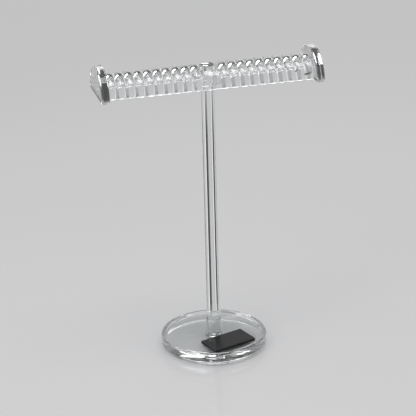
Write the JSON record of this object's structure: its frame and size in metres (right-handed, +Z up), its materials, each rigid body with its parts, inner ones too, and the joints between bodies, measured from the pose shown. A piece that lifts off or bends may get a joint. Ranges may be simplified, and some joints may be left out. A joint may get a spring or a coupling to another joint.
{
  "type": "bracelet display stand",
  "caption": "Clear T-shaped stand with a rippled half-round bar on a round post and a weighted dish base, for hanging bracelets and watches.",
  "frame": {"origin": "centre of the underside of the round base, where it rests", "axes": "+Z up along the post, +X along the display bar, +Y to the back"},
  "size_m": [0.2048, 0.1, 0.2863],
  "materials": {
    "clear_acrylic": "clear polished acrylic",
    "black_plate": "black satin plastic, bare"
  },
  "bodies": {
    "root": {"tray_base": "clear_acrylic", "post_collar": "clear_acrylic", "post": "clear_acrylic", "display_bar": "clear_acrylic", "left_end_cap": "clear_acrylic", "right_end_cap": "clear_acrylic", "name_plate": "black_plate"}
  },
  "joints": []
}
